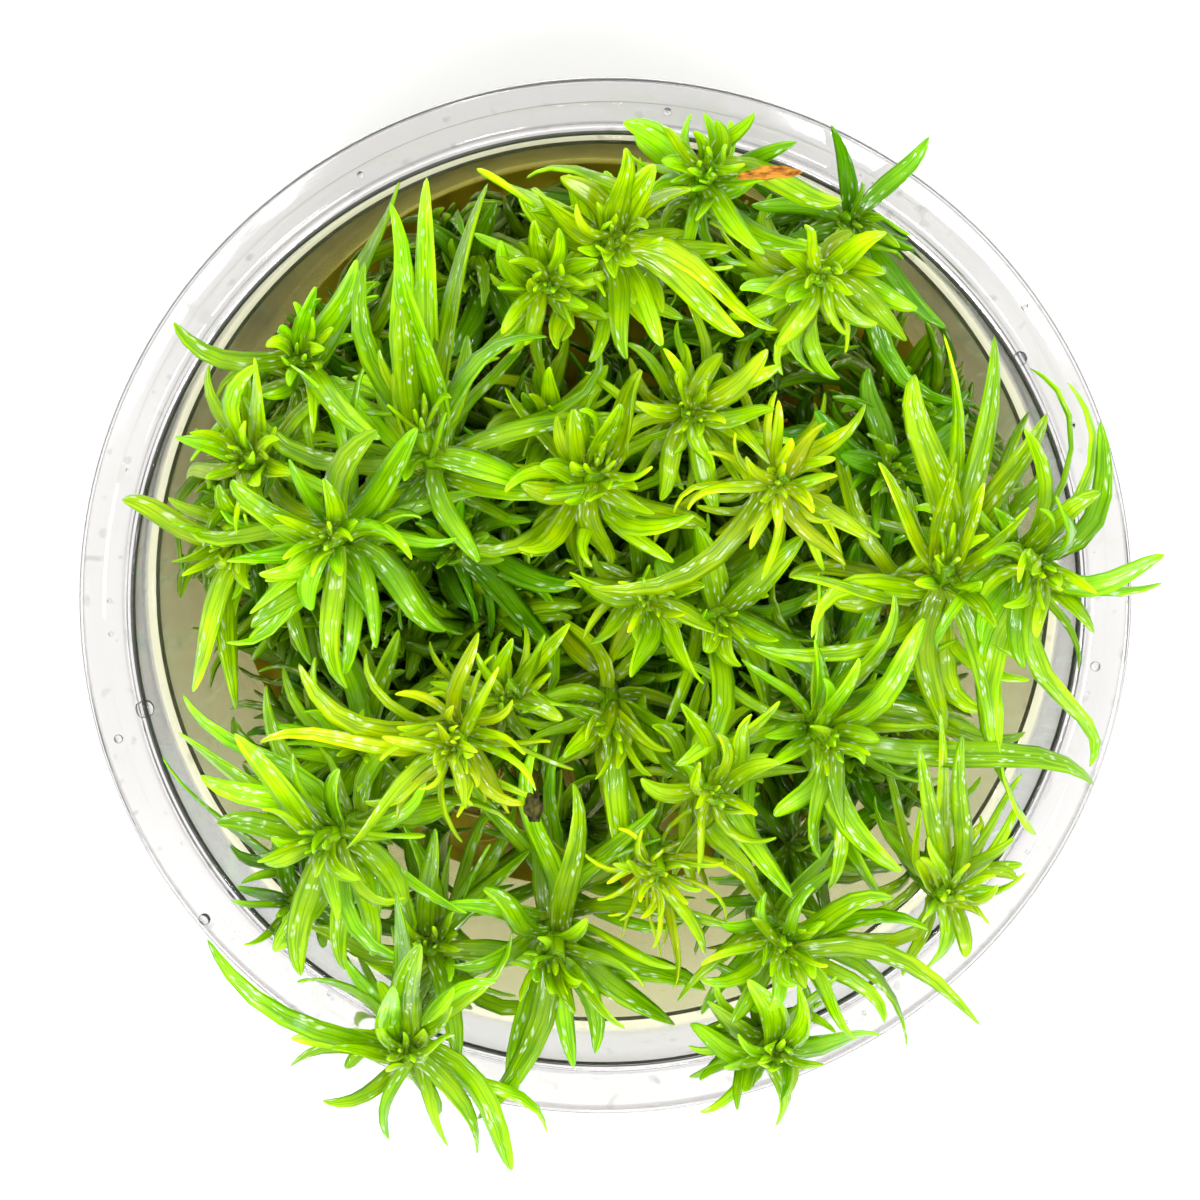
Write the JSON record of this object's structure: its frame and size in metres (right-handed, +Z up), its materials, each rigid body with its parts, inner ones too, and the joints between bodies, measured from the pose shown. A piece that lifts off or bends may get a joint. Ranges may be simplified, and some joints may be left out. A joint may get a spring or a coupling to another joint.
{
  "type": "tissue culture aquarium plant in open cup",
  "caption": "Open clear culture cup holding amber agar gel and a dense crop of young Pogostemon deccanensis plantlets whose leaf tufts spill over the rim.",
  "frame": {"origin": "middle of the cup's flat underside", "axes": "+Z up, out of the cup's mouth; +Y towards the upper edge of the picture; +X to its right"},
  "size_m": [0.1008, 0.1029, 0.095],
  "materials": {
    "clear_plastic": "clear, glossy",
    "agar_gel": "wet, see-through",
    "leaf_bright": "wet leaf",
    "leaf_mid": "wet leaf",
    "leaf_deep": "wet leaf",
    "leaf_yellow": "wet young leaf",
    "withered_leaf": "dry, wrinkled",
    "dead_scrap": "dark, damp"
  },
  "bodies": {
    "root": {"cup": "clear_plastic", "agar_gel": "agar_gel", "plantlet_high_left": "leaf_mid", "plantlet_high_west": "leaf_mid", "plantlet_west": "leaf_bright", "plantlet_northwest": "leaf_mid", "plantlet_far_west": "leaf_bright", "plantlet_southwest_high": "leaf_mid", "plantlet_wall_southwest": "leaf_deep", "plantlet_yellow_star": "leaf_yellow", "plantlet_small_centre_west": "leaf_bright", "plantlet_over_rim_southwest": "leaf_mid", "plantlet_south": "leaf_mid", "plantlet_curled_south": "leaf_yellow", "plantlet_centre_south": "leaf_bright", "plantlet_rosette_south": "leaf_bright", "plantlet_star_southeast": "leaf_mid", "plantlet_swirl_east": "leaf_mid", "plantlet_tall_east": "leaf_bright", "plantlet_northeast_low": "leaf_deep", "plantlet_bright_star_east": "leaf_yellow", "plantlet_centre_north": "leaf_bright", "plantlet_centre_bud": "leaf_bright", "plantlet_north_star": "leaf_bright", "plantlet_north_bud": "leaf_bright", "plantlet_north_rim": "leaf_mid", "plantlet_northeast": "leaf_bright", "plantlet_wall_northeast": "leaf_deep", "plantlet_southeast_tuft": "leaf_bright", "plantlet_rosette_southeast": "leaf_mid", "plantlet_on_rim_south": "leaf_mid", "plantlet_small_north": "leaf_bright", "plantlet_small_west": "leaf_mid", "plantlet_centre": "leaf_bright", "plantlet_broad_east": "leaf_mid", "plantlet_low_west": "leaf_deep", "plantlet_low_southwest": "leaf_mid", "plantlet_low_east": "leaf_deep", "low_shoot_west": "leaf_deep", "low_shoot_northwest": "leaf_deep", "low_shoot_north": "leaf_deep", "low_shoot_northeast": "leaf_deep", "low_shoot_east": "leaf_deep", "low_shoot_southeast": "leaf_deep", "low_shoot_southwest": "leaf_deep", "low_shoot_centre": "leaf_deep", "low_shoot_centre_west": "leaf_deep", "low_shoot_centre_east": "leaf_deep", "withered_leaf": "withered_leaf", "dead_scrap": "dead_scrap"}
  },
  "joints": []
}
